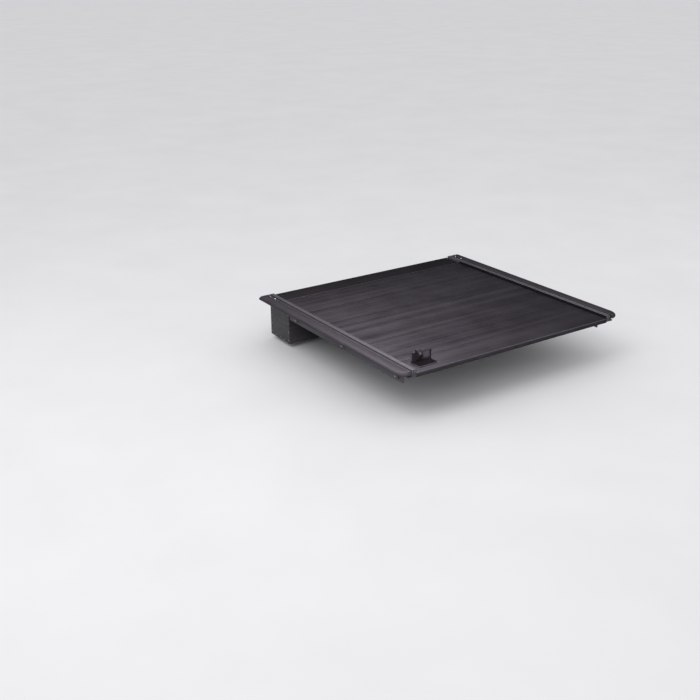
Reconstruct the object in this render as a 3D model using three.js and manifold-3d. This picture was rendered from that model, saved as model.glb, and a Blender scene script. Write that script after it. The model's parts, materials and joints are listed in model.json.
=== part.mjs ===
// Retractable slatted tonneau cover for a pickup bed: two side rails, a canister at the bulkhead,
// fifteen interlocking slats, and a rear bar with a locking flip-up latch.
// Millimetres. +X is the truck's right, +Y is forward to the cab, +Z is up.
// The origin is on the centreline, on the canister's front face, level with the top of the bed rails.
import * as THREE from "three";
import { mergeVertices } from "three/addons/utils/BufferGeometryUtils.js";
import Module from "manifold-3d";

const wasm = await Module();
wasm.setup();

// Driving dimensions
const OPENING = 1400; // clear width between the side rails
const LENGTH = 1487; // bulkhead to the rear edge of the closed cover
const HALF = OPENING / 2;
const REAR = -LENGTH;
const GAP = 0.3; // working gap between touching pieces

const SLAT_COUNT = 15;
const SLAT_PITCH = 78.9;
const SLAT_TOP = 19;
const SLAT_BOTTOM = 5;
const SLAT_REACH = 20; // how far a slat runs into the rail's channel
const SLAT_WALL = 2;
const LID_DEPTH = 134;
const BAR_DEPTH = LENGTH - LID_DEPTH - SLAT_COUNT * SLAT_PITCH;
const BAR_TRAVEL = 1183; // travel of the rear bar from closed to open
const LOCK_POSITIONS = 4; // places along the rail where the lock bolts can drop in

const RAIL_WIDTH = 50; // with the low flange that the side trim stands on
const RAIL_TOP = 40;
const RAIL_CROWN = 29; // width of the rail's ridged top
const RAIL_FLANGE = 6;
const CHANNEL_DEPTH = 24;
const CHANNEL_TOP = 22;
const CHANNEL_BOTTOM = 3;
const RAIL_FRONT = -3.4;
const LEG_OUT = [18, 22]; // the clamp leg's faces, out from the rail's inner edge
const LEG_BOTTOM = -64;
const LEG_REAR = REAR + 80;

const CANISTER_DEPTH = 230;
const CANISTER_BOTTOM = -225;
const SHEET = 3;
const CANISTER_HALF = HALF + 21.7;
const LID_UNDERSIDE = SLAT_TOP + 2.6;
const STORE_EDGE = -18; // top of the canister's rear wall; the latch tray passes over it
const SPIRAL_CENTRE = [-113, -99];

const TRIM_INNER = 37; // the side trim's edges, out from the rail's inner edge
const TRIM_OUTER = 106;
const TRIM_TOP = 39;
const TRIM_UNDERSIDE = 16;
const TRIM_REAR = REAR - 12;
const TRIM_CORNER = 75;

const CLAMP_LENGTH = 40;
const CLAMP_PLACES = { rear: -1350, middle: -830, front: -320 };
const CLAMP_BOLT_Z = -40;
const CLAMP_THROAT = 12; // from the rail's seat down to the jaw
const CLAMP_UP = 8;
const CLAMP_DOWN = 14;
const BOLT_RADIUS = 4;

// Latch, measured from the cover's left inner edge (u) and from its rear edge (v)
const LATCH_U = [55, 190];
const LATCH_V = [43, 127];
const TRAY_WALL = 2.5;
const TRAY_BOTTOM = SLAT_TOP - 34;
const HINGE_V = 118;
const HINGE_Z = SLAT_TOP + 6.8;
const PIN_RADIUS = 2;
const BARREL_RADIUS = 4.2;
const PADDLE_U = [62, 182];
const PADDLE_TOP = HINGE_Z + 52;
const PADDLE_THICK = 5;
const RIM_DEPTH = 10;
const RIB_WIDTH = 3.5;
const HOUSING_U = [84, 108];
const HOUSING_TOP = HINGE_Z + 66;
const HOUSING_FACE = 84;
const KEY_U = 93;
const KEY_Z = SLAT_TOP + 56;
const KEY_RADIUS = 6;
const ROD_V = 9;
const ROD_Z = SLAT_BOTTOM + 4;

const finish = {
  satinBlack: { color: 0x25262a, roughness: 0.55, metalness: 0.4 },
  slatBlack: { color: 0x2b2c30, roughness: 0.6, metalness: 0.3 },
  railGrey: { color: 0x3a3c41, roughness: 0.45, metalness: 0.6 },
  sheet: { color: 0x1d1e20, roughness: 0.5, metalness: 0.5 },
  trimPlastic: { color: 0x2c2d30, roughness: 0.8, metalness: 0 },
  rubber: { color: 0x111112, roughness: 0.9, metalness: 0 },
  hardPlastic: { color: 0x161719, roughness: 0.5, metalness: 0 },
  zinc: { color: 0xaeb2b6, roughness: 0.35, metalness: 0.9 },
  nylon: { color: 0xd5d5cf, roughness: 0.6, metalness: 0 },
};

const cover = new THREE.Group();

function addMesh(parent, name, geometry, look) {
  const mesh = new THREE.Mesh(geometry, new THREE.MeshStandardMaterial(finish[look]));
  mesh.name = name;
  parent.add(mesh);
  return mesh;
}

// ---- geometry helpers ----

function outline(points) {
  if (points instanceof THREE.Shape) return points;
  return new THREE.Shape(points.map(([a, b]) => new THREE.Vector2(a, b)));
}

function extrude(points, depth, curveSegments = 10) {
  return new THREE.ExtrudeGeometry(outline(points), { depth, bevelEnabled: false, curveSegments });
}

// Points are (y, z); the section runs from x0 to x1.
function alongX(points, x0, x1) {
  const turn = new THREE.Matrix4().set(0, 0, 1, x0, 1, 0, 0, 0, 0, 1, 0, 0, 0, 0, 0, 1);
  return extrude(points, x1 - x0).applyMatrix4(turn);
}

// Points are (x, z); the section runs from y0 to y1.
function alongY(points, y0, y1, curveSegments = 10) {
  const turn = new THREE.Matrix4().set(1, 0, 0, 0, 0, 0, -1, y1, 0, 1, 0, 0, 0, 0, 0, 1);
  return extrude(points, y1 - y0, curveSegments).applyMatrix4(turn);
}

// Points are (x, y); the section runs from z0 to z1.
function alongZ(points, z0, z1) {
  return extrude(points, z1 - z0).translate(0, 0, z0);
}

function block([x0, x1], [y0, y1], [z0, z1]) {
  const box = new THREE.BoxGeometry(x1 - x0, y1 - y0, z1 - z0);
  return box.translate((x0 + x1) / 2, (y0 + y1) / 2, (z0 + z1) / 2);
}

// A round bar along an axis, "x", "y" or "z", from a to b; centre holds the other two coordinates.
function roundBar(axis, centre, a, b, radius, sides = 24) {
  const bar = new THREE.CylinderGeometry(radius, radius, b - a, sides);
  const middle = (a + b) / 2;
  if (axis === "x") return bar.rotateZ(-Math.PI / 2).translate(middle, ...centre);
  if (axis === "y") return bar.translate(centre[0], middle, centre[1]);
  return bar.rotateX(Math.PI / 2).translate(...centre, middle);
}

function roundedRectangle([x0, x1], [y0, y1], r) {
  const shape = new THREE.Shape();
  shape.absarc(x1 - r, y0 + r, r, -Math.PI / 2, 0);
  shape.absarc(x1 - r, y1 - r, r, 0, Math.PI / 2);
  shape.absarc(x0 + r, y1 - r, r, Math.PI / 2, Math.PI);
  shape.absarc(x0 + r, y0 + r, r, Math.PI, Math.PI * 1.5);
  return shape;
}

function toSolid(geometry) {
  const bare = geometry.clone();
  bare.deleteAttribute("normal");
  bare.deleteAttribute("uv");
  const merged = mergeVertices(bare, 1e-4);
  return new wasm.Manifold(
    new wasm.Mesh({
      numProp: 3,
      vertProperties: merged.attributes.position.array,
      triVerts: new Uint32Array(merged.index.array),
    }),
  );
}

function toGeometry(solid) {
  const mesh = solid.getMesh();
  const geometry = new THREE.BufferGeometry();
  geometry.setAttribute("position", new THREE.BufferAttribute(mesh.vertProperties, 3));
  geometry.setIndex(new THREE.BufferAttribute(mesh.triVerts, 1));
  const flat = geometry.toNonIndexed();
  flat.computeVertexNormals();
  return flat;
}

const join = (...pieces) => toGeometry(pieces.map(toSolid).reduce((all, piece) => all.add(piece)));
const cut = (base, ...tools) =>
  toGeometry(tools.map(toSolid).reduce((left, tool) => left.subtract(tool), toSolid(base)));
const overlap = (a, b) => toGeometry(toSolid(a).intersect(toSolid(b)));

// Each side is drawn as the right-hand one, out from the rail's inner edge, and mirrored for the left.
function sides(draw) {
  for (const side of ["left", "right"]) {
    const group = new THREE.Group();
    const hand = side === "left" ? -1 : 1;
    group.scale.x = hand;
    group.position.x = hand * HALF;
    cover.add(group);
    draw(group, side);
  }
}

// ---- side rails ----

// Two low ridges on top, a low flange outboard; the slats' channel opens inwards.
const railSection = [
  [0, 0.8], [CHANNEL_DEPTH, 0.8], [CHANNEL_DEPTH, 0], [RAIL_WIDTH, 0], [RAIL_WIDTH, RAIL_FLANGE],
  [RAIL_CROWN, RAIL_FLANGE], [RAIL_CROWN, RAIL_TOP - 1.5], [27.5, RAIL_TOP], [19.5, RAIL_TOP],
  [18, RAIL_TOP - 1.4], [11.5, RAIL_TOP - 1.4], [10, RAIL_TOP], [1.5, RAIL_TOP], [0, RAIL_TOP - 1.5],
  [0, CHANNEL_TOP], [CHANNEL_DEPTH, CHANNEL_TOP], [CHANNEL_DEPTH, CHANNEL_BOTTOM], [0, CHANNEL_BOTTOM],
];

const endCapSection = [
  [0, 0.8], [CHANNEL_DEPTH, 0.8], [CHANNEL_DEPTH, 0], [RAIL_WIDTH, 0], [RAIL_WIDTH, RAIL_FLANGE],
  [RAIL_CROWN, RAIL_FLANGE], [RAIL_CROWN, RAIL_TOP - 1.5], [27.5, RAIL_TOP],
  [1.5, RAIL_TOP], [0, RAIL_TOP - 1.5],
];

function strikePockets() {
  const step = BAR_TRAVEL / (LOCK_POSITIONS - 1);
  const places = Array.from({ length: LOCK_POSITIONS }, (_, i) => REAR + ROD_V + step * i);
  const reach = [CHANNEL_DEPTH - 0.1, 34];
  return places.map((y) => block(reach, [y - 5.5, y + 5.5], [ROD_Z - 4.2, ROD_Z + 4.2]));
}

function drawRail(group, side) {
  // The channel's lower lip stops behind the canister, so that the slats can go down into it.
  const lipNotch = block([-1, CHANNEL_DEPTH], [-CANISTER_DEPTH - 6, 0], [-1, CHANNEL_BOTTOM + 0.1]);
  const hollow = block([3, RAIL_CROWN - 3], [REAR - 1, 0], [CHANNEL_TOP + 3, RAIL_TOP - 4]);
  const extrusion = alongY(railSection, REAR, RAIL_FRONT);
  addMesh(group, `${side}_side_rail`, cut(extrusion, hollow, lipNotch, ...strikePockets()), "railGrey");
  addMesh(group, `${side}_rail_end_cap`, alongY(endCapSection, REAR - 3.3, REAR - GAP), "hardPlastic");

  const lip = [[3, SLAT_TOP + GAP], [7, SLAT_TOP + GAP], [9, CHANNEL_TOP - GAP], [2, CHANNEL_TOP - GAP]];
  addMesh(group, `${side}_rail_seal`, alongY(lip, REAR + 2, -LID_DEPTH - 4), "rubber");
}

// Moulded cap along the top of the bed side, outside the rail, rounded off at its rear corner.
function drawTrim(group, side) {
  const section = new THREE.Shape();
  section.moveTo(TRIM_INNER, RAIL_FLANGE + GAP);
  section.lineTo(TRIM_INNER + 6, RAIL_FLANGE + GAP);
  section.lineTo(TRIM_INNER + 6, TRIM_UNDERSIDE);
  section.lineTo(TRIM_OUTER - 8, TRIM_UNDERSIDE);
  section.lineTo(TRIM_OUTER, 22);
  section.bezierCurveTo(TRIM_OUTER + 0.5, 32, TRIM_OUTER - 8, TRIM_TOP - 1.5, TRIM_OUTER - 26, TRIM_TOP);
  section.lineTo(TRIM_INNER + 1.5, TRIM_TOP);
  section.lineTo(TRIM_INNER, TRIM_TOP - 1.5);
  const plan = new THREE.Shape();
  const radius = 60;
  const outer = TRIM_OUTER + 1;
  plan.moveTo(TRIM_INNER - 1, RAIL_FRONT);
  plan.lineTo(TRIM_INNER - 1, TRIM_REAR);
  plan.absellipse(outer - radius, TRIM_REAR + TRIM_CORNER, radius, TRIM_CORNER, -Math.PI / 2, 0);
  plan.lineTo(outer, RAIL_FRONT);
  const cap = overlap(alongY(section, TRIM_REAR - 1, RAIL_FRONT), alongZ(plan, -20, 60));
  addMesh(group, `${side}_side_trim`, cap, "trimPlastic");
}

// ---- clamps: a leg under each rail carries jaws that grip the bed side's flange from below ----

function drawLeg(group, side) {
  const plate = block(LEG_OUT, [LEG_REAR, -CANISTER_DEPTH - 6], [LEG_BOTTOM, -GAP]);
  const slotX = [LEG_OUT[0] - 1, LEG_OUT[1] + 1];
  const slotZ = [CLAMP_BOLT_Z - CLAMP_DOWN - BOLT_RADIUS - 0.5, CLAMP_BOLT_Z + CLAMP_UP + BOLT_RADIUS + 0.5];
  const half = BOLT_RADIUS + GAP;
  const slots = Object.values(CLAMP_PLACES).map((y) => block(slotX, [y - half, y + half], slotZ));
  addMesh(group, `${side}_clamp_leg`, cut(plate, ...slots), "railGrey");
}

function drawClamps(group, side) {
  const inner = LEG_OUT[1] + GAP;
  const wall = inner + 4.7;
  const jawSection = [
    [inner, -52], [wall, -52], [wall, -27], [RAIL_WIDTH, -18],
    [RAIL_WIDTH, -CLAMP_THROAT], [inner, -CLAMP_THROAT],
  ];
  for (const [place, y] of Object.entries(CLAMP_PLACES)) {
    const centre = [y, CLAMP_BOLT_Z];
    const jaw = alongY(jawSection, y - CLAMP_LENGTH / 2, y + CLAMP_LENGTH / 2);
    const hole = roundBar("x", centre, inner - 1, wall + 1, BOLT_RADIUS + GAP);
    addMesh(group, `${side}_clamp_jaw_${place}`, cut(jaw, hole), "zinc");
    const shank = roundBar("x", centre, LEG_OUT[0] - 2, wall + 8, BOLT_RADIUS);
    const head = roundBar("x", centre, LEG_OUT[0] - 5.5, LEG_OUT[0] - GAP, 7.5, 6);
    const nut = roundBar("x", centre, wall + GAP, wall + 6, 7, 6);
    addMesh(group, `${side}_clamp_bolt_${place}`, join(shank, head, nut), "zinc");
  }
}

// ---- canister ----

function drawTub() {
  const rear = -CANISTER_DEPTH;
  const section = [
    [rear, CANISTER_BOTTOM], [0, CANISTER_BOTTOM], [0, LID_UNDERSIDE - GAP], [-SHEET, LID_UNDERSIDE - GAP],
    [-SHEET, CANISTER_BOTTOM + SHEET], [rear + SHEET, CANISTER_BOTTOM + SHEET],
    [rear + SHEET, STORE_EDGE], [rear, STORE_EDGE],
  ];
  const holes = [-1, 1].map((hand) =>
    roundBar("z", [hand * 640, -40], CANISTER_BOTTOM - 1, CANISTER_BOTTOM + SHEET + 1, 5),
  );
  addMesh(cover, "canister_tub", cut(alongX(section, -CANISTER_HALF, CANISTER_HALF), ...holes), "sheet");
}

function drawLid() {
  const rear = -LID_DEPTH;
  const section = [
    [rear, LID_UNDERSIDE], [0, LID_UNDERSIDE], [0, LID_UNDERSIDE + 3], [-1, LID_UNDERSIDE + 4],
    [rear + 12, LID_UNDERSIDE + 4], [rear + 10, LID_UNDERSIDE + 6], [rear + 2, LID_UNDERSIDE + 6],
    [rear, LID_UNDERSIDE + 4],
  ];
  addMesh(cover, "canister_lid", alongX(section, -HALF + GAP, HALF - GAP), "satinBlack");
  const wiper = [
    [rear + 1, SLAT_TOP + GAP], [rear + 4, SLAT_TOP + GAP],
    [rear + 8, LID_UNDERSIDE - GAP], [rear + 1, LID_UNDERSIDE - GAP],
  ];
  addMesh(cover, "lid_wiper_seal", alongX(wiper, -HALF + 12, HALF - 12), "rubber");
  const low = LID_UNDERSIDE + GAP;
  const seal = [[GAP, low], [6, low], [8, low + 2], [8, low + 4], [6, low + 6], [GAP, low + 6]];
  addMesh(cover, "bulkhead_seal", alongX(seal, -HALF, HALF), "rubber");
}

// A rib that winds inwards from the rail's channel and guides the slats' ends as they roll up.
function spiralRib(turns, outerRadius, innerRadius, thickness) {
  const steps = Math.round(turns * 36);
  const [centreY, centreZ] = SPIRAL_CENTRE;
  const along = (radius, i) => {
    const angle = Math.PI / 2 - (i / steps) * turns * Math.PI * 2;
    return [centreY + radius * Math.cos(angle), centreZ + radius * Math.sin(angle)];
  };
  const radiusAt = (i) => outerRadius + ((innerRadius - outerRadius) * i) / steps;
  const outer = Array.from({ length: steps + 1 }, (_, i) => along(radiusAt(i), i));
  const inner = Array.from({ length: steps + 1 }, (_, i) => along(radiusAt(i) - thickness, i)).reverse();
  return [...outer, ...inner];
}

function drawCanisterEnd(group, side) {
  const foot = CANISTER_BOTTOM;
  const plate = [[-CANISTER_DEPTH, foot], [0, foot], [0, -16], [-8, -GAP], [-CANISTER_DEPTH, -GAP]];
  addMesh(group, `${side}_canister_end`, alongX(plate, 22, 22 + SHEET), "sheet");
  addMesh(group, `${side}_spiral_track`, alongX(spiralRib(1.75, 97, 42, 3.5), 8, 21.6), "hardPlastic");
}

// Hose spout under the canister's floor; the drain hose itself belongs to the truck's fitting kit.
function drawSpout(group, side) {
  const profile = [
    [4, -2], [12, -2], [12, -4.5], [7, -4.5], [6.4, -22], [7, -24], [6, -27], [4, -27], [4, -2],
  ];
  const spout = new THREE.LatheGeometry(profile.map(([r, z]) => new THREE.Vector2(r, z)).reverse(), 24);
  spout.rotateX(Math.PI / 2);
  const mesh = addMesh(group, `${side}_drain_spout`, spout, "hardPlastic");
  mesh.position.set(640 - HALF, -40, CANISTER_BOTTOM + 2 - GAP);
}

// ---- slats ----

// Hollow two-cell extrusion, (y, z) from the slat's middle, slightly crowned on top.
function slatGeometry() {
  const half = SLAT_PITCH / 2 - GAP;
  const reach = HALF + SLAT_REACH;
  const section = [
    [-half, SLAT_BOTTOM + 2], [-half + 2, SLAT_BOTTOM], [half - 2, SLAT_BOTTOM], [half, SLAT_BOTTOM + 2],
    [half, SLAT_TOP - 2.2], [half - 2.6, SLAT_TOP - 0.4], [half - 10, SLAT_TOP],
    [-half + 10, SLAT_TOP], [-half + 2.6, SLAT_TOP - 0.4], [-half, SLAT_TOP - 2.2],
  ];
  const cellZ = [SLAT_BOTTOM + SLAT_WALL, SLAT_TOP - SLAT_WALL - 0.6];
  const ends = [-reach - 1, reach + 1];
  const cells = [[-half + SLAT_WALL, -1], [1, half - SLAT_WALL]].map((cellY) => block(ends, cellY, cellZ));
  return cut(alongX(section, -reach, reach), ...cells);
}

function drawSlats() {
  const geometry = slatGeometry();
  for (let i = 0; i < SLAT_COUNT; i++) {
    const slat = addMesh(cover, `slat_${String(i + 1).padStart(2, "0")}`, geometry, "slatBlack");
    slat.position.y = -LID_DEPTH - SLAT_PITCH * (i + 0.5);
  }
}

// ---- rear bar and its latch, placed by u and v ----

const bar = new THREE.Group();
bar.position.set(-HALF, REAR, 0);
cover.add(bar);

function drawBar() {
  const depth = BAR_DEPTH - GAP;
  const section = [
    [0, SLAT_BOTTOM], [ROD_V - 4, SLAT_BOTTOM], [ROD_V - 4, SLAT_BOTTOM + 8.5],
    [ROD_V + 4, SLAT_BOTTOM + 8.5], [ROD_V + 4, SLAT_BOTTOM],
    [depth - 2, SLAT_BOTTOM], [depth, SLAT_BOTTOM + 2], [depth, SLAT_TOP - 2.2],
    [depth - 2.6, SLAT_TOP - 0.4], [depth - 8, SLAT_TOP], [3, SLAT_TOP], [0, SLAT_TOP - 3],
  ];
  const body = alongX(section, -SLAT_REACH, OPENING + SLAT_REACH);
  const ends = [-SLAT_REACH - 1, OPENING + SLAT_REACH + 1];
  const cellZ = [SLAT_BOTTOM + 2.5, SLAT_TOP - 3];
  const cells = [[ROD_V + 7, 80], [83, depth - 2.5]].map((cellV) => block(ends, cellV, cellZ));
  const pocketZ = [SLAT_BOTTOM - 1, SLAT_TOP + 1];
  const pocket = block([LATCH_U[0] + 3, LATCH_U[1] - 3], [LATCH_V[0] + 3, LATCH_V[1] - 3], pocketZ);
  addMesh(bar, "rear_bar", cut(body, ...cells, pocket), "satinBlack");
  const lip = [[-9, 0], [-5, -3], [-GAP, -3], [-GAP, 14], [-4, 14], [-9, 9]];
  addMesh(bar, "tailgate_seal", alongX(lip, 4, OPENING - 4), "rubber");
}

function drawBolts() {
  const bolt = (u0, u1) => block([u0, u1], [ROD_V - 3.5, ROD_V + 3.5], [ROD_Z - 3.2, ROD_Z + 3.4]);
  const rod = (u0, u1) => roundBar("x", [ROD_V, ROD_Z], u0, u1, 3, 16);
  const inboard = 20;
  const outboard = SLAT_REACH - 0.5;
  addMesh(bar, "left_lock_bolt", bolt(-outboard, inboard), "zinc");
  addMesh(bar, "right_lock_bolt", bolt(OPENING - inboard, OPENING + outboard), "zinc");
  addMesh(bar, "left_push_rod", rod(inboard + GAP, KEY_U - 3), "zinc");
  addMesh(bar, "right_push_rod", rod(KEY_U + 3, OPENING - inboard - GAP), "zinc");
}

// Tray let into the bar, with a flange on top and two lugs that carry the paddle's pin.
function drawBezel() {
  const [u0, u1] = LATCH_U;
  const [v0, v1] = LATCH_V;
  const flange = alongZ(roundedRectangle([u0, u1], [v0, v1], 6), SLAT_TOP + GAP, SLAT_TOP + 2.3);
  const box = block([u0 + 3.4, u1 - 3.4], [v0 + 3.4, v1 - 3.4], [TRAY_BOTTOM, SLAT_TOP + 1]);
  const inset = 3.4 + TRAY_WALL;
  const mouth = roundedRectangle([u0 + inset, u1 - inset], [v0 + inset, v1 - inset], 5);
  const recess = alongZ(mouth, TRAY_BOTTOM + TRAY_WALL, 30);
  const lug = (a, b) => block([a, b], [HINGE_V - 5, HINGE_V + 5], [SLAT_TOP + 1, HINGE_Z + 5]);
  const lugs = [lug(u0 + 2, PADDLE_U[0] - 0.8), lug(PADDLE_U[1] + 0.8, PADDLE_U[1] + 6)];
  const bore = roundBar("x", [HINGE_V, HINGE_Z], u0, u1, PIN_RADIUS + GAP);
  const tray = cut(join(flange, box), recess);
  addMesh(bar, "latch_bezel", cut(join(tray, ...lugs), bore), "hardPlastic");
  const pin = roundBar("x", [HINGE_V, HINGE_Z], u0 + 1, PADDLE_U[1] + 7, PIN_RADIUS);
  addMesh(bar, "paddle_hinge_pin", pin, "zinc");
}

// Side profile of the lock housing, from the paddle's face out to the rear; it tapers to the hinge,
// so that it swings down clear of the tray's edge. Stand grows it for the rib beside it.
function housingProfile(from, stand) {
  const foot = HINGE_Z + 7;
  return [
    [from, foot], [HOUSING_FACE + 20 - stand, foot], [HOUSING_FACE + 4 - stand, HOUSING_TOP - 36],
    [HOUSING_FACE - stand, HOUSING_TOP - 22], [HOUSING_FACE + 8 - stand, HOUSING_TOP - 8],
    [HOUSING_FACE + 20, HOUSING_TOP], [from, HOUSING_TOP],
  ];
}

// A shallow pan hinged at its lower edge, drawn raised: its rims face the tailgate.
function drawPaddle() {
  const [u0, u1] = PADDLE_U;
  const back = HINGE_V + PADDLE_THICK / 2;
  const face = HINGE_V - PADDLE_THICK / 2;
  const plate = block([u0, u1], [face, back], [HINGE_Z, PADDLE_TOP]);
  const tabU = [HOUSING_U[0] - GAP, HOUSING_U[1] + GAP + RIB_WIDTH];
  const tab = block(tabU, [face, back], [PADDLE_TOP - 1, HOUSING_TOP]);
  const barrel = roundBar("x", [HINGE_V, HINGE_Z], u0, u1, BARREL_RADIUS);
  const rim = (a, b, low) => block([a, b], [face - RIM_DEPTH, face + 1], [low, PADDLE_TOP]);
  const rimFoot = HINGE_Z + 7;
  const topRim = block([u0, u1], [face - 5, face + 1], [PADDLE_TOP - 3, PADDLE_TOP]);
  const rims = [rim(u0, u0 + 3, rimFoot), rim(u1 - 3, u1, rimFoot), topRim];
  const housingSlot = block(tabU, [face - RIM_DEPTH, face], [HINGE_Z, PADDLE_TOP + 1]);
  const rib = alongX(housingProfile(face + 1, 1.5), tabU[1] - RIB_WIDTH, tabU[1]);
  const pinBore = roundBar("x", [HINGE_V, HINGE_Z], u0 - 1, u1 + 1, PIN_RADIUS + GAP);
  const keyBore = roundBar("y", [KEY_U, KEY_Z], face - 1, back + 1, KEY_RADIUS + GAP);
  const pan = cut(join(plate, tab, barrel, ...rims), housingSlot);
  addMesh(bar, "latch_paddle", cut(join(pan, rib), pinBore, keyBore), "hardPlastic");
}

function drawLock() {
  const near = HINGE_V - PADDLE_THICK / 2 - GAP;
  const back = HINGE_V + PADDLE_THICK / 2;
  const keyBore = roundBar("y", [KEY_U, KEY_Z], HOUSING_FACE - 5, HINGE_V, KEY_RADIUS + GAP);
  addMesh(bar, "lock_housing", cut(alongX(housingProfile(near, 0), ...HOUSING_U), keyBore), "hardPlastic");
  const barrel = roundBar("y", [KEY_U, KEY_Z], HOUSING_FACE + 1, back + 0.6, KEY_RADIUS);
  const head = roundBar("y", [KEY_U, KEY_Z], back + GAP, back + 2.5, KEY_RADIUS + 1.5);
  const keySlot = block([KEY_U - 0.8, KEY_U + 0.8], [back + 1, back + 3], [KEY_Z - 3.5, KEY_Z + 3.5]);
  addMesh(bar, "lock_cylinder", cut(join(barrel, head), keySlot), "zinc");
}

sides(drawRail);
sides(drawTrim);
sides(drawLeg);
sides(drawClamps);
sides(drawCanisterEnd);
sides(drawSpout);
drawTub();
drawLid();
drawSlats();
drawBar();
drawBolts();
drawBezel();
drawPaddle();
drawLock();

export default cover;
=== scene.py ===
import json
import math

import bmesh
import bpy
from mathutils import Matrix, Vector


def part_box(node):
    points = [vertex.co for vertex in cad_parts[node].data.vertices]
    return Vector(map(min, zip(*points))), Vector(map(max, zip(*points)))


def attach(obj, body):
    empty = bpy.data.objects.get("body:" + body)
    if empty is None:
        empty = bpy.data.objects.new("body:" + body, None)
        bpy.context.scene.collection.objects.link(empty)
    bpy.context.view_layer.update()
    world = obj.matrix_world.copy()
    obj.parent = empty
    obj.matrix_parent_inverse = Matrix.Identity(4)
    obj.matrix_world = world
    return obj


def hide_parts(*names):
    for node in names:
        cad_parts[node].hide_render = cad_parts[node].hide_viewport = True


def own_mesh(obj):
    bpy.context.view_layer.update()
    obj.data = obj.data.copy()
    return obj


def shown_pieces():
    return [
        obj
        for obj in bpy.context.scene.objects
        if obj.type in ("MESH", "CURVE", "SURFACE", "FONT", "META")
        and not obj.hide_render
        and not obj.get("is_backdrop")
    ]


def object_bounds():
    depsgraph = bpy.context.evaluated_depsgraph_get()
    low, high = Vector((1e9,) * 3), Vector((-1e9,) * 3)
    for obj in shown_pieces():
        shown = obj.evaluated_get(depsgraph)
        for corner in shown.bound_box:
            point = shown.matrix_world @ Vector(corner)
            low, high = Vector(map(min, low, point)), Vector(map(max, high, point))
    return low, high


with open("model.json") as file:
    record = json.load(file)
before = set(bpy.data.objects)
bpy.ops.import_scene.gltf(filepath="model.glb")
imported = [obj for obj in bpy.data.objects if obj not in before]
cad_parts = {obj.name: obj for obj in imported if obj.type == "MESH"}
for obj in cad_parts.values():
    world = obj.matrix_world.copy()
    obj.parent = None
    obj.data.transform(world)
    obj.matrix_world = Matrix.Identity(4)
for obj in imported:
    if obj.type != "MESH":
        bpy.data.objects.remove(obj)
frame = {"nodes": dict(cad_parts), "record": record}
cad_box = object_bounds()

SIDES = {"left": -1, "right": 1}
PLACES = ("front", "middle", "rear")
HALF_OPENING = 0.7  # from the centreline to each rail's inner edge
SLATS = sorted(name for name in frame["nodes"] if name.startswith("slat_"))
BODY_OF = {n: b for b, names in frame["record"]["behaviour"]["bodies"].items() for n in names}
SLOT_OF = {part["node"]: part["material_slot"] for part in frame["record"]["subparts"]}


# ---- mesh helpers ----

def new_piece(name, vertices, faces):
    mesh = bpy.data.meshes.new(name)
    mesh.from_pydata([tuple(v) for v in vertices], [], faces)
    piece = bpy.data.objects.new(name, mesh)
    bpy.context.scene.collection.objects.link(piece)
    face_outwards(piece)
    return piece


def face_outwards(piece):
    work = bmesh.new()
    work.from_mesh(piece.data)
    bmesh.ops.remove_doubles(work, verts=work.verts, dist=1e-6)
    bmesh.ops.recalc_face_normals(work, faces=work.faces)
    work.to_mesh(piece.data)
    work.free()


def smooth(piece, angle=35):
    piece.data.shade_smooth()
    piece.data.set_sharp_from_angle(angle=math.radians(angle))


def apply_modifiers(piece):
    graph = bpy.context.evaluated_depsgraph_get()
    piece.data = bpy.data.meshes.new_from_object(piece.evaluated_get(graph))
    piece.modifiers.clear()


def soften(piece, width=0.0006, segments=2, angle=35):
    """Rounds the piece's hard edges a little, as on a moulded or extruded part."""
    edge = piece.modifiers.new("edge", "BEVEL")
    edge.width = width
    edge.segments = segments
    edge.limit_method = "ANGLE"
    edge.angle_limit = math.radians(28)
    apply_modifiers(piece)
    smooth(piece, angle)
    weight = piece.modifiers.new("weight", "WEIGHTED_NORMAL")
    weight.keep_sharp = True
    apply_modifiers(piece)
    return piece


def copy_of(node):
    """The CAD node's mesh as a new piece, its flat faces whole again."""
    piece = bpy.data.objects.new(node + "_finished", frame["nodes"][node].data.copy())
    bpy.context.scene.collection.objects.link(piece)
    work = bmesh.new()
    work.from_mesh(piece.data)
    bmesh.ops.remove_doubles(work, verts=work.verts, dist=2e-6)
    bmesh.ops.dissolve_limit(work, angle_limit=math.radians(0.8), verts=work.verts, edges=work.edges)
    bmesh.ops.recalc_face_normals(work, faces=work.faces)
    work.to_mesh(piece.data)
    work.free()
    return piece


def rounded(points, steps=5):
    """A closed outline from (a, b) or (a, b, corner radius) points."""
    outline = []
    for i, point in enumerate(points):
        here = Vector(point[:2])
        if len(point) < 3:
            outline.append(here)
            continue
        before = (Vector(points[i - 1][:2]) - here).normalized()
        after = (Vector(points[(i + 1) % len(points)][:2]) - here).normalized()
        half = before.angle(after) / 2
        reach = point[2] / math.tan(half)
        centre = here + (before + after).normalized() * (point[2] / math.sin(half))
        start = here + before * reach - centre
        turn = start.angle_signed(here + after * reach - centre)
        for k in range(steps + 1):
            outline.append(centre + Matrix.Rotation(-turn * k / steps, 2) @ start)
    return outline


def prism(name, outline, axis, stations):
    """An outline carried along an axis. Along x it is (y, z), along y (x, z), along z (x, y)."""
    place = {
        "x": lambda a, b, s: (s, a, b),
        "y": lambda a, b, s: (a, s, b),
        "z": lambda a, b, s: (a, b, s),
    }[axis]
    count = len(outline)
    vertices = [place(p[0], p[1], s) for s in stations for p in outline]
    faces = [tuple(range(count)), tuple(range(len(vertices) - count, len(vertices)))]
    for ring in range(len(stations) - 1):
        for i in range(count):
            j = (i + 1) % count
            below, above = ring * count, (ring + 1) * count
            faces.append((below + i, below + j, above + j, above + i))
    return new_piece(name, vertices, faces)


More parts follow.
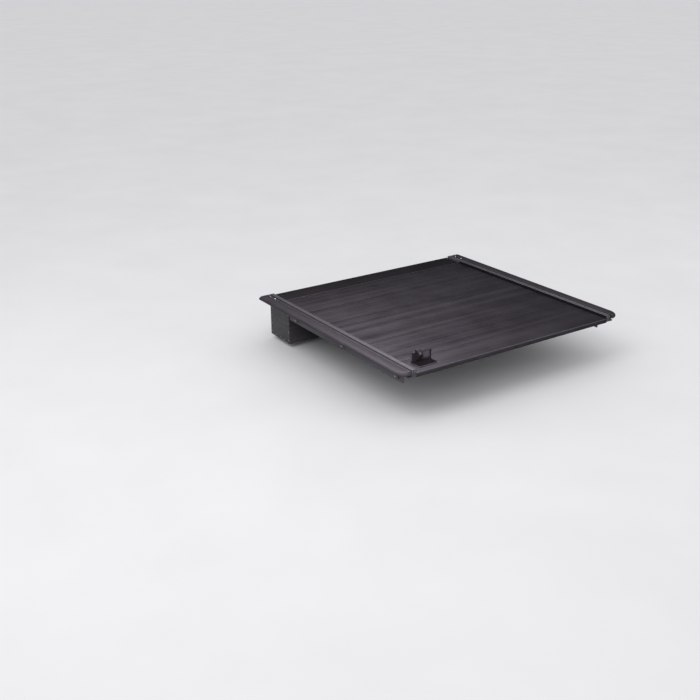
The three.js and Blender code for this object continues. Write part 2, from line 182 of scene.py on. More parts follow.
def evenly(start, end, steps):
    """Stations from start to end, in that many equal steps."""
    return [start + (end - start) * k / steps for k in range(steps + 1)]


def hexagon(across, angle):
    """The reach of a hexagon that is across wide between its flats, in one direction."""
    return across / 2 / math.cos((angle + math.pi / 6) % (math.pi / 3) - math.pi / 6)


def turned(name, rings, centre, axis, sides=36):
    """Rings of (radius, distance along the axis). One with "hex" as well is a hexagon of that half width."""
    along = Vector(axis).normalized()
    turn = Vector((0, 0, 1)).rotation_difference(along).to_matrix()
    vertices, faces = [], []
    for ring in rings:
        for k in range(sides):
            angle = 2 * math.pi * k / sides
            reach = hexagon(2 * ring[0], angle) if len(ring) > 2 else ring[0]
            point = turn @ Vector((reach * math.cos(angle), reach * math.sin(angle), ring[1]))
            vertices.append(Vector(centre) + point)
    for ring in range(len(rings) - 1):
        for k in range(sides):
            j = (k + 1) % sides
            below, above = ring * sides, (ring + 1) * sides
            faces.append((below + k, below + j, above + j, above + k))
    faces.append(tuple(range(sides)))
    faces.append(tuple(range(len(vertices) - sides, len(vertices))))
    return new_piece(name, vertices, faces)


# ---- materials: node trees in object space ----

class Surface:
    """A material built a node at a time; its texture space is the object's own, in metres."""

    def __init__(self, name):
        self.material = bpy.data.materials.new(name)
        self.material.use_nodes = True
        self.tree = self.material.node_tree
        self.shader = self.tree.nodes["Principled BSDF"]
        self.place = self.add("ShaderNodeTexCoord").outputs["Object"]
        self.bumps = None

    def add(self, kind, inputs=None, **settings):
        node = self.tree.nodes.new(kind)
        for key, value in settings.items():
            setattr(node, key, value)
        for key, value in (inputs or {}).items():
            self.join(value, node.inputs[key])
        return node

    def join(self, value, socket):
        if isinstance(value, bpy.types.NodeSocket):
            self.tree.links.new(value, socket)
        else:
            socket.default_value = value

    def stretch(self, scale):
        return self.add("ShaderNodeMapping", {"Vector": self.place, "Scale": scale}).outputs[0]

    def noise(self, scale, detail=3.0, stretch=(1, 1, 1), rough=0.55):
        inputs = {"Vector": self.stretch(stretch), "Scale": scale, "Detail": detail, "Roughness": rough}
        return self.add("ShaderNodeTexNoise", inputs).outputs["Fac"]

    def cells(self, scale, feature="F1", stretch=(1, 1, 1)):
        inputs = {"Vector": self.stretch(stretch), "Scale": scale}
        return self.add("ShaderNodeTexVoronoi", inputs, feature=feature).outputs["Distance"]

    def ramp(self, value, low, high, to_low=0.0, to_high=1.0):
        inputs = {"Value": value, "From Min": low, "From Max": high, "To Min": to_low, "To Max": to_high}
        return self.add("ShaderNodeMapRange", inputs).outputs["Result"]

    def maths(self, operation, a, b):
        node = self.add("ShaderNodeMath", operation=operation)
        self.join(a, node.inputs[0])
        self.join(b, node.inputs[1])
        return node.outputs[0]

    def blend(self, share, a, b):
        node = self.add("ShaderNodeMix", data_type="RGBA")
        colours = [s for s in node.inputs if s.type == "RGBA"]
        self.join(share, node.inputs[0])
        for socket, value in zip(colours, (a, b)):
            self.join(value if isinstance(value, bpy.types.NodeSocket) else (*value, 1.0), socket)
        return [s for s in node.outputs if s.type == "RGBA"][0]

    def bump(self, height, depth, strength=1.0):
        inputs = {"Height": height, "Distance": depth, "Strength": strength}
        if self.bumps is not None:
            inputs["Normal"] = self.bumps
        self.bumps = self.add("ShaderNodeBump", inputs).outputs["Normal"]

    def worn_edges(self, radius=0.0009):
        """1 along the piece's edges and corners, 0 on its flats."""
        bent = self.add("ShaderNodeBevel", {"Radius": radius}, samples=4).outputs["Normal"]
        flat = self.add("ShaderNodeNewGeometry").outputs["Normal"]
        dot = self.add("ShaderNodeVectorMath", operation="DOT_PRODUCT")
        self.join(bent, dot.inputs[0])
        self.join(flat, dot.inputs[1])
        return self.ramp(dot.outputs["Value"], 0.99, 0.85)

    def done(self, colour, roughness, metallic=0.0, specular=0.5, coat=0.0):
        self.join(colour, self.shader.inputs["Base Color"])
        self.join(roughness, self.shader.inputs["Roughness"])
        self.join(metallic, self.shader.inputs["Metallic"])
        self.join(specular, self.shader.inputs["Specular IOR Level"])
        self.join(coat, self.shader.inputs["Coat Weight"])
        if self.bumps is not None:
            self.join(self.bumps, self.shader.inputs["Normal"])
        return self.material


def powder_coat(name, dark, light, rough, lengthwise, specular=0.5, fleck=0.3, streak=0.05, sheen_band_depth=0.0):
    """Textured coating on aluminium: pebbled, flecked, with soft streaks along the extrusion and darker
    bands across it, painted shade between sheen bands.
    """
    s = Surface(name)
    clouds = s.noise(5, 4)
    lines = s.noise(55, 4, lengthwise)
    grit = s.noise(1900, 2)
    colour = s.blend(s.ramp(clouds, 0.3, 0.7), dark, light)
    colour = s.blend(s.ramp(lines, 0.35, 0.7), [c * 0.75 for c in dark], colour)
    sheen_bands = s.noise(17, 3, [c if c == 1 else c * 0.5 for c in lengthwise])
    # Painted sheen: broad darker bands across the coat stand in for the light and dark reflection bands on
    # the slats.
    colour = s.blend(s.ramp(sheen_bands, 0.40, 0.60, sheen_band_depth, 0), colour, [c * 0.35 for c in dark])
    colour = s.blend(s.ramp(grit, 0.55, 0.8, 0, fleck), colour, [min(1, c * 2.2) for c in light])
    colour = s.blend(s.ramp(s.worn_edges(), 0, 1, 0, 0.22), colour, [min(1, c * 3) for c in light])
    haze = s.ramp(clouds, 0.3, 0.7, rough - 0.04, rough + 0.04)
    roughness = s.maths("ADD", haze, s.ramp(lines, 0.3, 0.7, streak, -streak))
    roughness = s.maths("ADD", roughness, s.ramp(sheen_bands, 0.35, 0.65, sheen_band_depth * 0.2, -sheen_band_depth * 0.2))
    s.bump(s.cells(1300, "SMOOTH_F1"), 0.00012, 0.5)
    s.bump(grit, 0.00006, 0.5)
    s.bump(lines, 0.0004, 0.3)
    return s.done(colour, roughness, specular=specular)


def moulded(name, dark, light, rough, grain=420, depth=0.00018, specular=0.45):
    """Moulded plastic with a leather-like grain, painted shade in the grain's creases, and slightly polished
    high spots.
    """
    s = Surface(name)
    clouds = s.noise(9, 4)
    pebble = s.cells(grain, "DISTANCE_TO_EDGE")
    creases = s.ramp(pebble, 0.0, 0.18)
    colour = s.blend(s.ramp(clouds, 0.3, 0.7), dark, light)
    # Painted shade: the grain's creases are darkened.
    colour = s.blend(s.ramp(creases, 0, 1, 0.35, 0), colour, [c * 0.5 for c in dark])
    colour = s.blend(s.ramp(s.worn_edges(), 0, 1, 0, 0.18), colour, [min(1, c * 2) for c in light])
    haze = s.ramp(clouds, 0.3, 0.7, rough - 0.05, rough + 0.06)
    roughness = s.maths("ADD", haze, s.ramp(creases, 0, 1, 0.08, 0))
    s.bump(creases, depth, 0.6)
    s.bump(s.noise(2400, 2), 0.00004, 0.5)
    return s.done(colour, roughness, specular=specular)


def rubber(name, dark=(0.0055, 0.0052, 0.0058), light=(0.0115, 0.0110, 0.0122), bloomed=0.3, specular=0.22):
    """Moulded rubber with a dusty bloom in places."""
    s = Surface(name)
    clouds = s.noise(26, 4)
    bloom = s.noise(7, 3)
    colour = s.blend(s.ramp(clouds, 0.3, 0.7), dark, light)
    colour = s.blend(s.ramp(bloom, 0.5, 0.8, 0, bloomed), colour, (0.028, 0.027, 0.030))
    s.bump(s.noise(1500, 3), 0.00008, 0.6)
    s.bump(s.noise(220, 2, (0.05, 1, 1)), 0.0002, 0.4)
    return s.done(colour, s.ramp(clouds, 0.3, 0.7, 0.72, 0.88), specular=specular)


def plated_steel(name, tint, rough, brushed=(1, 1, 1), metallic=0.95):
    """Zinc-plated steel: fine brushing, small spangles and dull spots."""
    s = Surface(name)
    brush = s.noise(700, 3, brushed)
    spangle = s.cells(240)
    dull = s.noise(45, 4)
    colour = s.blend(s.ramp(brush, 0.3, 0.7), [c * 0.78 for c in tint], tint)
    colour = s.blend(s.ramp(spangle, 0.2, 0.7, 0, 0.3), colour, [c * 0.62 for c in tint])
    colour = s.blend(s.ramp(dull, 0.55, 0.75, 0, 0.5), colour, (0.22, 0.21, 0.2))
    haze = s.ramp(dull, 0.4, 0.75, rough, rough + 0.2)
    roughness = s.maths("ADD", haze, s.ramp(brush, 0.3, 0.7, -0.05, 0.05))
    s.bump(brush, 0.00003, 0.5)
    s.bump(spangle, 0.00003, 0.3)
    return s.done(colour, roughness, metallic=metallic)


ALONG_X = (0.03, 1, 1)
ALONG_Y = (1, 0.03, 1)
ALONG_SLAT = (0.013, 1, 1)

SLAT_DARK = (0.0134, 0.0108, 0.0162)
SLAT_LIGHT = (0.0241, 0.0196, 0.0290)
# Painted shade: the lid's coat is a darker copy of the slats' coat, for the shade at the front of the cover.
LID_SHADED_DARK = (0.0058, 0.0042, 0.0062)
LID_SHADED_LIGHT = (0.0095, 0.0072, 0.0102)
RAIL_DARK = (0.043, 0.039, 0.049)
RAIL_LIGHT = (0.058, 0.053, 0.066)
SHEET_DARK = (0.016, 0.0148, 0.0172)
SHEET_LIGHT = (0.026, 0.024, 0.028)
TRIM_DARK = (0.0195, 0.0165, 0.0212)
TRIM_LIGHT = (0.0250, 0.0215, 0.0272)
CAP_DARK = (0.02, 0.02, 0.023)
CAP_LIGHT = (0.03, 0.03, 0.034)
TRACK_DARK = (0.014, 0.014, 0.016)
TRACK_LIGHT = (0.022, 0.022, 0.025)
LATCH_DARK = (0.010, 0.0088, 0.0110)
LATCH_LIGHT = (0.0165, 0.0145, 0.0180)
# Painted shade: the tray's coat is a darker copy of the latch plastic, for the shade in the bezel's recess.
TRAY_SHADED_DARK = (0.0085, 0.0075, 0.0095)
TRAY_SHADED_LIGHT = (0.0135, 0.0120, 0.0150)
# Painted light: a lighter copy of the latch plastic, for the lit part of the paddle's face.
PANEL_LIT_DARK = (0.042, 0.036, 0.048)
PANEL_LIT_LIGHT = (0.058, 0.050, 0.066)
# Painted shadow: near-black, for the shade on the rails' inner walls.
SHADOW_FACING_DARK = (0.0018, 0.0016, 0.0020)
SHADOW_FACING_LIGHT = (0.0036, 0.0033, 0.0040)

LOOKS = {
    "slat_coating": powder_coat(
        "slat_coating", SLAT_DARK, SLAT_LIGHT, 0.50, ALONG_SLAT, streak=0.10, sheen_band_depth=0.38),
    "bar_aluminium": powder_coat(
        "bar_aluminium", SLAT_DARK, SLAT_LIGHT, 0.50, ALONG_SLAT, streak=0.09, sheen_band_depth=0.4),
    "lid_aluminium": powder_coat(
        "lid_aluminium", LID_SHADED_DARK, LID_SHADED_LIGHT, 0.58, ALONG_X, 0.24, fleck=0.2, streak=0.06, sheen_band_depth=0.3),
    "rail_aluminium": powder_coat("rail_aluminium", RAIL_DARK, RAIL_LIGHT, 0.56, ALONG_Y, 0.6, fleck=0.12),
    "canister_sheet": powder_coat("canister_sheet", SHEET_DARK, SHEET_LIGHT, 0.5, ALONG_X),
    "trim_plastic": moulded("trim_plastic", TRIM_DARK, TRIM_LIGHT, 0.60, specular=0.32),
    "end_cap_plastic": moulded("end_cap_plastic", CAP_DARK, CAP_LIGHT, 0.5, 600, 0.0001),
    "track_plastic": moulded("track_plastic", TRACK_DARK, TRACK_LIGHT, 0.42, 700, 0.00006),
    "latch_plastic": moulded("latch_plastic", LATCH_DARK, LATCH_LIGHT, 0.40, 700, 0.00008, 0.5),
    "latch_tray": moulded("latch_tray", TRAY_SHADED_DARK, TRAY_SHADED_LIGHT, 0.45, 700, 0.00008, 0.5),
    "latch_face": moulded("latch_face", PANEL_LIT_DARK, PANEL_LIT_LIGHT, 0.42, 700, 0.00008, 0.5),
    "seal_rubber": rubber("seal_rubber"),
    "shadow_facing_rubber": rubber("shadow_facing_rubber", SHADOW_FACING_DARK, SHADOW_FACING_LIGHT, 0.04, 0.10),
    "lock_steel": plated_steel("lock_steel", (0.20, 0.195, 0.21), 0.42),
    "latch_steel": plated_steel("latch_steel", (0.62, 0.62, 0.63), 0.28, ALONG_X),
    "clamp_steel": plated_steel("clamp_steel", (0.46, 0.46, 0.47), 0.40),
    "clamp_aluminium": plated_steel("clamp_aluminium", (0.13, 0.125, 0.135), 0.55, metallic=0.85),
}


def dress(piece, body, slot, *nodes, look=None):
    """Gives a piece its finish, the body it rides on and the CAD nodes that it stands for."""
    piece.data.materials.clear()
    piece.data.materials.append(LOOKS[look or slot])
    for face in piece.data.polygons:
        face.material_index = 0
    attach(piece, body)
    if nodes:
        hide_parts(*nodes)
    return piece


# ---- pieces whose CAD shape is kept, with softened edges ----

SOFT_EDGES = {
    "canister_tub": 0.0008, "lid_wiper_seal": 0.0003, "bulkhead_seal": 0.0009,
    "latch_bezel": 0.0007, "latch_paddle": 0.0006, "lock_housing": 0.0016, "lock_cylinder": 0.0004,
    "paddle_hinge_pin": 0.0003, "rear_bar": 0.0007,
}
for side in SIDES:
    SOFT_EDGES |= {
        f"{side}_side_rail": 0.0006, f"{side}_rail_end_cap": 0.0008, f"{side}_rail_seal": 0.0003,
        f"{side}_clamp_leg": 0.0005, f"{side}_canister_end": 0.0006, f"{side}_spiral_track": 0.0006,
        f"{side}_drain_spout": 0.0002, f"{side}_lock_bolt": 0.0006, f"{side}_push_rod": 0.0003,
    }
    SOFT_EDGES |= {f"{side}_clamp_jaw_{place}": 0.0013 for place in PLACES}

# The bezel takes the tray's darker coat, painted shade in its recess.
OTHER_LOOKS = {"lock_cylinder": "lock_steel", "latch_bezel": "latch_tray"}
for node, width in SOFT_EDGES.items():
    piece = soften(copy_of(node), width, 3 if width >= 0.001 else 2)
    dress(piece, BODY_OF[node], SLOT_OF[node], node, look=OTHER_LOOKS.get(node))


# ---- slats: crowned, with rolled lips at the joints and grooves underneath ----

def slat_section(half, low, high):
    crown = 0.0005
    lip = 0.0009
    top = [(y, high - crown * (y / half) ** 2) for y in evenly(-half + lip, half - lip, 12)]
    under = [
        (half, low + 0.002, 0.0008), (half - 0.002, low, 0.0006), (0.014, low), (0.013, low + 0.001),
        (0.010, low + 0.001), (0.009, low), (-0.009, low), (-0.010, low + 0.001), (-0.013, low + 0.001),
        (-0.014, low), (-half + 0.002, low, 0.0006), (-half, low + 0.002, 0.0008),
    ]
    shoulder = high - crown - lip
    arc = [(lip * (1 - math.cos(a)), lip * math.sin(a)) for a in (math.pi / 2 * k / 5 for k in range(5))]
    rear_lip = [(-half + a, shoulder + b) for a, b in arc]
    front_lip = [(half - a, shoulder + b) for a, b in reversed(arc)]
    return rounded(rear_lip + top + front_lip + under, 3)


for node in SLATS:
    low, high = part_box(node)
    middle = (low.y + high.y) / 2
    half = (high.y - low.y) / 2 + 0.00015
    outline = [(p[0] + middle, p[1]) for p in slat_section(half, low.z, high.z)]
    slat = prism(node + "_extrusion", outline, "x", evenly(low.x, high.x, 24))
    smooth(slat, 28)
    dress(slat, BODY_OF[node], SLOT_OF[node], node)
    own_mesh(slat)


# ---- canister lid: a coated plate with a two-ridged edge strip where the slats come out; the ridges are lighter, painted highlights ----

low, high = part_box("canister_lid")
plate_top = high.z - 0.002
strip_depth = 0.0115
crown_y = -0.066  # the plate's highest line, 0.4 mm above its edges
lid_plate = [
    (low.y + strip_depth, low.z), (high.y, low.z, 0.0008), (high.y, plate_top, 0.0016),
    (crown_y, plate_top + 0.0004), (low.y + strip_depth, plate_top),
]
lid = prism("canister_lid_plate", rounded(lid_plate, 4), "x", evenly(low.x, high.x, 16))
smooth(lid, 30)
dress(lid, "frame", "lid_aluminium", "canister_lid")
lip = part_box(SLATS[0])[1].z + 0.0005
strip_profile = [
    (low.y, lip, 0.0003), (low.y + 0.0008, lip, 0.0003), (low.y + 0.0009, low.z),
    (low.y + strip_depth, low.z), (low.y + strip_depth, plate_top + 0.0004),
    (low.y + 0.0095, high.z - 0.0012, 0.0006),
    (low.y + 0.004, high.z - 0.0014, 0.0006), (low.y + 0.0018, high.z - 0.0022, 0.0010),
    (low.y + 0.0006, high.z - 0.006),
]
strip = prism("lid_edge_strip", rounded(strip_profile, 3), "x", [low.x, 0, high.x])
smooth(strip, 30)
dress(strip, "frame", "lid_aluminium")
# Painted highlights: the strip's top and bottom edges carry lighter ridges.
ridges = {"upper": (low.y - 0.0002, high.z - 0.0022, 0.0022), "lower": (low.y - 0.0014, lip, 0.0019)}
for name, (back, foot, size) in ridges.items():
    corners = [(back, foot), (back + size, foot), (back + size, foot + size), (back, foot + size)]
    outline = rounded([(*corner, size * 0.32) for corner in corners], 4)
    ridge = prism(f"lid_edge_highlight_ridge_{name}", outline, "x", [low.x, 0, high.x])
    smooth(ridge, 40)
    dress(ridge, "frame", "rail_aluminium")


# ---- side trims: one rounded moulding with a turned-in rear corner ----

def trim_path(inner, reach, rear, front):
    """Points of the trim's outer edge from front to rear corner, each with its outward direction."""
    corner_x, corner_y = 0.058, 0.076
    path = [((reach, front - (front - rear - corner_y) * k / 12), (1, 0)) for k in range(12)]
    for k in range(17):
        angle = math.pi / 2 * k / 16
        x = reach - corner_x + corner_x * math.cos(angle)
        y = rear + corner_y - corner_y * math.sin(angle)
        out = Vector((math.cos(angle) / corner_x, -math.sin(angle) / corner_y)).normalized()
        path.append(((x, y), (out.x, out.y)))
    path.append(((inner, rear), (0, -1)))
    return path


def trim_edge(under, top):
    """The rounded edge's section, from below to the top, as (distance in from the outer edge, height)."""
    edge = [(0.009, under), (0.004, under + 0.0012), (0.001, under + 0.004)]
    foot, belly, crown = under + 0.006, under + 0.0155, top - 0.0002
    for k in range(13):
        t = k / 12
        inset = 3 * (1 - t) * t * t * 0.009 + t ** 3 * 0.028
        height = (1 - t) ** 3 * foot + 3 * (1 - t) ** 2 * t * belly
        height += 3 * (1 - t) * t * t * crown + t ** 3 * top
        edge.append((inset, height))
    return edge


def draw_trim(side, hand):
    low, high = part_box(f"{side}_side_trim")
    reach = max(abs(low.x), abs(high.x)) - HALF_OPENING
    inner = min(abs(low.x), abs(high.x)) - HALF_OPENING
    rear, front, top, foot = low.y, high.y, high.z, low.z
    under = foot + 0.0097
    wall = 0.006

    edge = trim_edge(under, top)
    rows = []
    for index, ((x, y), (nx, ny)) in enumerate(trim_path(inner, reach, rear, front)):
        share = max(0.0, min(1.0, (index - 12) / 16))
        scale = 1 - 0.55 * share
        row = [(x - nx * inset * scale, y - ny * inset * scale, z) for inset, z in edge]
        ledge_y = row[-1][1] if index else front
        ledge_y = min(max(ledge_y, rear + 0.0004), front)
        row += [
            (inner + 0.0012, ledge_y, top), (inner + 0.0003, ledge_y, top - 0.0004),
            (inner, ledge_y, top - 0.0014), (inner, ledge_y, foot), (inner + wall, ledge_y, foot),
            (inner + wall, ledge_y, under),
        ]
        rows.append(row)
    width = len(rows[0])
    vertices = [(hand * (HALF_OPENING + x), y, z) for row in rows for x, y, z in row]
    faces = [tuple(range(width)), tuple(range(len(vertices) - width, len(vertices)))]
    for r in range(len(rows) - 1):
        for i in range(width):
            j = (i + 1) % width
            faces.append((r * width + i, r * width + j, (r + 1) * width + j, (r + 1) * width + i))
    trim = new_piece(f"{side}_side_trim_moulding", vertices, faces)
    smooth(trim, 40)
    dress(trim, "frame", "trim_plastic", f"{side}_side_trim")


for side, hand in SIDES.items():
    draw_trim(side, hand)


# ---- black strips on the rails' walls and in the gap to the trim, partly painted shadow, and a lighter bead along each trim's inner edge, painted highlight ----

def long_strip(name, hand, section, rear, front, slot, look=None):
    """A thin section of (distance out from the rail's inner edge, height), carried along a rail."""
    outline = [(hand * (HALF_OPENING + out), z) for out, z in section]
    piece = prism(name, outline, "y", evenly(rear, front, 2))
    smooth(piece, 50)
    return dress(piece, "frame", slot, look=look)


for side, hand in SIDES.items():
    rail_low, rail_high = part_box(f"{side}_side_rail")
    top = rail_high.z
    rear, front = rail_low.y + 0.0008, rail_high.y - 0.002
    channel_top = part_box(f"{side}_rail_seal")[1].z
    lid_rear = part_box("canister_lid")[0].y - 0.003
    # Painted shadow: a near-black strip on the rail's inner wall, where shade falls.
    inner = [
        (0.0001, channel_top + 0.0006), (0.0001, top - 0.0022), (-0.0012, top - 0.0030),
        (-0.0016, channel_top + 0.0016),
    ]
    long_strip(f"{side}_rail_inner_shadow_facing", hand, inner, rear, lid_rear, "seal_rubber", "shadow_facing_rubber")
    # Black rubber strips on the rail's outer wall and in the gap to the trim: a seal, and also painted
    # shadow of the groove there.
    outer = [
        (0.0289, 0.024), (0.0300, 0.0245), (0.0300, top - 0.0016), (0.0284, top + 0.0003),
        (0.0268, top + 0.0003), (0.0268, top - 0.0002), (0.0276, top - 0.0002), (0.0289, top - 0.0016),
    ]
    long_strip(f"{side}_rail_outer_facing", hand, outer, rear, front, "seal_rubber")
    gap = [
        (0.0300, 0.030), (0.0368, 0.030), (0.0368, 0.0391), (0.0390, 0.0391), (0.0390, 0.0395),
        (0.0362, 0.0396), (0.0348, 0.0372), (0.0300, 0.0376),
    ]
    long_strip(f"{side}_rail_gap_seal", hand, gap, rear, front, "seal_rubber")
    # Painted highlight: a lighter bead along the trim's inner edge.
    bead_in, bead_out = 0.0394, 0.0436
    bead_foot, bead_top = top - 0.0028, top - 0.0006
    bead = rounded([
        (bead_in, bead_foot, 0.0002), (bead_out, bead_foot, 0.0002),
        (bead_out, bead_top, 0.0010), (bead_in, bead_top, 0.0010),
    ])
    long_strip(f"{side}_trim_highlight_bead", hand, bead, rail_low.y - 0.0105, rail_high.y - 0.001,
               "trim_plastic", "rail_aluminium")


# ---- fasteners ----

def pan_screw(name, centre, radius, height, axis, body, slot):
    """A low domed head with a hexagonal socket."""
    rings = [
        (radius, 0), (radius, height * 0.25), (radius * 0.94, height * 0.55),
        (radius * 0.78, height * 0.85), (radius * 0.55, height), (radius * 0.46, height, "hex"),
        (radius * 0.44, height * 0.3, "hex"),
    ]
    screw = turned(name, rings, centre, axis)
    smooth(screw, 40)
    return dress(screw, body, slot)


def clamp_bolt(side, hand, place):
    """Hexagon head, washer and threaded shank, with a nut on it."""
    node = f"{side}_clamp_bolt_{place}"
    low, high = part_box(node)
    inner_end = high.x if hand < 0 else low.x
    centre = (inner_end, (low.y + high.y) / 2, (low.z + high.z) / 2)
    washer_end, tip = 0.0052, 0.0222
    thread_pitch, turns = 0.00125, 14
    thread = []
    for turn in range(turns):
        crest = washer_end + thread_pitch * turn
        thread += [(0.0039, crest), (0.0034, crest + 0.0006)]
    head = [
        (0.0052, 0), (0.0062, 0.0007), (0.0064, 0.0008, "hex"), (0.0064, 0.0040, "hex"),
        (0.0074, 0.0040), (0.0074, washer_end), (0.0039, washer_end),
    ]
    rings = head + thread + [(0.0036, tip), (0.003, tip + 0.0003)]
    bolt = turned(node + "_turned", rings, centre, (hand, 0, 0), 48)
    smooth(bolt, 30)
    dress(bolt, BODY_OF[node], SLOT_OF[node], node)
    start = 0.0147
    nut_rings = [
        (0.0042, start), (0.0058, start), (0.0060, start + 0.0006, "hex"), (0.0060, start + 0.0051, "hex"),
        (0.0056, start + 0.0057), (0.0042, start + 0.0057),
    ]
    nut = turned(node + "_nut", nut_rings, centre, (hand, 0, 0), 48)
    smooth(nut, 30)
    dress(nut, BODY_OF[node], SLOT_OF[node])


def trim_screws(side, hand):
    """Two bright screws at the front end of each trim."""
    screw_out = 0.7428
    rail_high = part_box(f"{side}_side_rail")[1]
    for number, back in enumerate((0.034, 0.096), 1):
        spot = (hand * screw_out, rail_high.y - back, rail_high.z - 0.0014)
        pan_screw(f"{side}_trim_screw_{number}", spot, 0.0050, 0.0030, (0, 0, 1), "frame", "latch_steel")


def end_cap_screws(side, hand):
    screw_height = 0.0315
    cap_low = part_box(f"{side}_rail_end_cap")[0]
    for number, out in enumerate((0.008, 0.024), 1):
        spot = (hand * (HALF_OPENING + out), cap_low.y + 0.0006, screw_height)
        name = f"{side}_end_cap_screw_{number}"
        pan_screw(name, spot, 0.0026, 0.0018, (0, -1, 0), "frame", "latch_steel")


def end_rivets(side, hand):
    """Rivets down both edges of a canister end plate, and along its foot."""
    end_low, end_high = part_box(f"{side}_canister_end")
    outer = end_low.x if hand < 0 else end_high.x
    spots = [(y, z) for z in (-0.205, -0.15, -0.095, -0.04) for y in (-0.218, -0.012)]
    spots += [(y, -0.213) for y in (-0.165, -0.115, -0.065)]
    for number, (y, z) in enumerate(spots, 1):
        place = (outer - hand * 0.0004, y, z)
        name = f"{side}_end_rivet_{number:02d}"
        pan_screw(name, place, 0.0036, 0.0016, (hand, 0, 0), "frame", "clamp_steel")


for side, hand in SIDES.items():
    for place in PLACES:
        clamp_bolt(side, hand, place)
    trim_screws(side, hand)
    end_cap_screws(side, hand)
    end_rivets(side, hand)

bezel_low, bezel_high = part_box("latch_bezel")
screw_xs = (bezel_low.x + 0.0042, bezel_high.x - 0.0042)
screw_ys = (bezel_low.y + 0.0036, bezel_high.y - 0.0036)
for number, (x, y) in enumerate([(x, y) for x in screw_xs for y in screw_ys], 1):
    pan_screw(f"bezel_screw_{number}", (x, y, 0.0211), 0.0024, 0.0013, (0, 0, 1), "rear_bar", "latch_steel")


# ---- latch: a lighter panel on the paddle's face, painted light, and the bezel's rim and lip, the lip lighter as a painted highlight ----

# Painted light: a lighter panel on the paddle's face right of the lock housing, where the face is lit; the
# part beside the housing stays dark.
paddle_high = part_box("latch_paddle")[1]
housing_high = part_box("lock_housing")[1]
pin_low, pin_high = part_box("paddle_hinge_pin")
panel_left, panel_right = housing_high.x + 0.0050, paddle_high.x - 0.0038
panel_foot, panel_top = 0.0340, 0.0738
plate_face = (pin_low.y + pin_high.y) / 2 - 0.0025  # the paddle plate's rear face
corners = [
    (panel_left, panel_foot), (panel_right, panel_foot), (panel_right, panel_top), (panel_left, panel_top),
]
panel_outline = rounded([(x, z, 0.0025) for x, z in corners], 4)
panel = prism("paddle_lit_face_panel", panel_outline, "y", [plate_face + 0.0004, plate_face - 0.0007])
soften(panel, 0.0002, 2)
dress(panel, BODY_OF["latch_paddle"], "latch_plastic", look="latch_face")


def rim_ring(name, low, high, width, z):
    """A flat rectangular frame of that width, its corners rounded."""
    loops = []
    for inset, radius in ((0.0, 0.006), (width, 0.0045)):
        x0, x1, y0, y1 = low.x + inset, high.x - inset, low.y + inset, high.y - inset
        loops.append(rounded([(x0, y0, radius), (x1, y0, radius), (x1, y1, radius), (x0, y1, radius)], 5))
    count = len(loops[0])
    vertices = [(p.x, p.y, height) for height in z for loop in loops for p in loop]
    faces = []
    for i in range(count):
        j = (i + 1) % count
        faces += [
            (i, j, count + j, count + i),
            (2 * count + i, 2 * count + j, 3 * count + j, 3 * count + i),
            (i, j, 2 * count + j, 2 * count + i), (count + i, count + j, 3 * count + j, 3 * count + i),
        ]
    return new_piece(name, vertices, faces)


rim = rim_ring("latch_bezel_rim", bezel_low, bezel_high, 0.0057, (0.0209, 0.0217))
soften(rim, 0.0003, 2)
dress(rim, "rear_bar", "latch_plastic")
# Painted highlight: a lighter ring along the bezel's inner edge.
inset = Vector((0.0036, 0.0036, 0))
lip = rim_ring("latch_bezel_highlight_lip", bezel_low + inset, bezel_high - inset, 0.0021, (0.0212, 0.0222))
soften(lip, 0.0003, 2)
dress(lip, "rear_bar", "latch_plastic", look="rail_aluminium")

# Painted highlight: a lighter strip along the rear bar's top rear chamfer.
bar_low, bar_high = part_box("rear_bar")
edge_y, edge_z = bar_low.y, bar_high.z
bar_highlight_bead = [
    (edge_y + 0.0006, edge_z - 0.0036), (edge_y - 0.0001, edge_z - 0.0028),
    (edge_y + 0.0027, edge_z + 0.0003), (edge_y + 0.0038, edge_z + 0.0003),
    (edge_y + 0.0038, edge_z - 0.0005),
]
bead_reach = HALF_OPENING - 0.0025
bead = prism("bar_edge_highlight_bead", bar_highlight_bead, "x", [-bead_reach, 0, bead_reach])
soften(bead, 0.0002, 2)
dress(bead, "rear_bar", "bar_aluminium", look="rail_aluminium")


# ---- tailgate seal: a hollow-looking bulb with a lip ----

low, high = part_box("tailgate_seal")
face = high.y
bulb = [
    (face, low.z + 0.0005, 0.0005), (face, high.z, 0.0006), (face - 0.0034, high.z, 0.0012),
    (face - 0.0062, high.z - 0.003, 0.002), (low.y, high.z - 0.008, 0.0025),
    (low.y, low.z + 0.0045, 0.0025), (face - 0.005, low.z, 0.0015),
]
seal = prism("tailgate_seal_bulb", rounded(bulb, 5), "x", evenly(low.x, high.x, 12))
smooth(seal, 32)
dress(seal, "rear_bar", "seal_rubber", "tailgate_seal")


# ---- floor, lights and camera ----

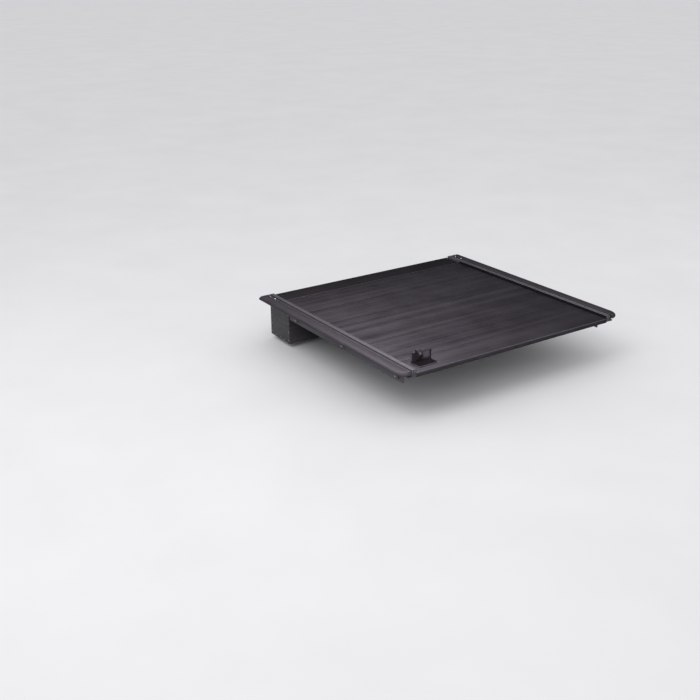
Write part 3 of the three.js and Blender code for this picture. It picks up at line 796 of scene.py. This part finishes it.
def stage_floor(height):
    mesh = bpy.data.meshes.new("floor")
    reach = 60
    corners = [(-reach, -reach), (reach, -reach), (reach, reach), (-reach, reach)]
    mesh.from_pydata([(x, y, height) for x, y in corners], [], [(0, 1, 2, 3)])
    floor = bpy.data.objects.new("floor", mesh)
    bpy.context.scene.collection.objects.link(floor)
    s = Surface("studio_floor")
    colour = s.blend(s.ramp(s.noise(1.5, 3), 0.3, 0.7), (0.80, 0.80, 0.81), (0.83, 0.83, 0.84))
    floor.data.materials.append(s.done(colour, s.ramp(s.noise(6, 3), 0.3, 0.7, 0.75, 0.85), specular=0.2))
    floor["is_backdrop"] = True


def soft_light(name, place, target, size, power, tint=(1, 1, 1), only=None):
    """A rectangular soft box; with only, it lights just the objects of that collection."""
    lamp = bpy.data.lights.new(name, "AREA")
    lamp.shape = "RECTANGLE"
    lamp.size, lamp.size_y = size
    lamp.energy = power
    lamp.color = tint
    light = bpy.data.objects.new(name, lamp)
    bpy.context.scene.collection.objects.link(light)
    light.location = place
    light.rotation_mode = "QUATERNION"
    light.rotation_quaternion = (Vector(target) - Vector(place)).to_track_quat("-Z", "Y")
    light.visible_camera = False
    if only is not None:
        light.light_linking.receiver_collection = only
    return light


def pale_world(strength, mirrored):
    """An even pale surround; smooth surfaces see it dimmer, as a studio's dark ceiling."""
    world = bpy.data.worlds.new("studio")
    bpy.context.scene.world = world
    world.use_nodes = True
    tree = world.node_tree
    back = tree.nodes["Background"]
    back.inputs["Color"].default_value = (0.98, 0.98, 1.0, 1.0)
    path = tree.nodes.new("ShaderNodeLightPath")
    level = tree.nodes.new("ShaderNodeMapRange")
    level.inputs["To Min"].default_value = strength
    level.inputs["To Max"].default_value = mirrored
    tree.links.new(path.outputs["Is Glossy Ray"], level.inputs["Value"])
    tree.links.new(level.outputs["Result"], back.inputs["Strength"])


stage_floor(cad_box[0].z - 0.0005)
pale_world(0.86, 0.05)
cover = Vector((0, -0.75, 0))
near_corner = Vector((-0.45, -1.2, 0))
on_object = bpy.data.collections.new("lit_object")
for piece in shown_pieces():
    on_object.objects.link(piece)
soft_light("key", (-3.2, -1.5, 4.2), cover, (2.6, 2.6), 60)
soft_light("fill", (3.5, -4.5, 3.2), cover, (3.0, 2.5), 20)
soft_light("near", (-2.2, -3.2, 2.0), near_corner, (1.4, 1.4), 158, (0.99, 0.93, 1.0), on_object)
sheen = soft_light("sheen", (-0.4, -0.3, 2.1), (-0.4, -0.9, 0), (1.2, 1.0), 104, (1.0, 0.91, 1.0), on_object)
sheen.visible_diffuse = False

CAMERA_PLACE = (-3.594, -5.260, 2.074)
YAW, PITCH, ROLL = math.radians(-33.40), math.radians(90 - 22.07), math.radians(-0.574)
camera_data = bpy.data.cameras.new("camera")
camera_data.lens = 51.43
camera_data.sensor_width = 36
camera_data.clip_end = 200
camera_data.dof.use_dof = False
camera = bpy.data.objects.new("camera", camera_data)
bpy.context.scene.collection.objects.link(camera)
turn = Matrix.Rotation(YAW, 4, "Z") @ Matrix.Rotation(PITCH, 4, "X") @ Matrix.Rotation(ROLL, 4, "Z")
camera.matrix_world = Matrix.Translation(CAMERA_PLACE) @ turn
bpy.context.scene.camera = camera
bpy.context.scene.view_settings.view_transform = "Standard"

bpy.context.view_layer.update()
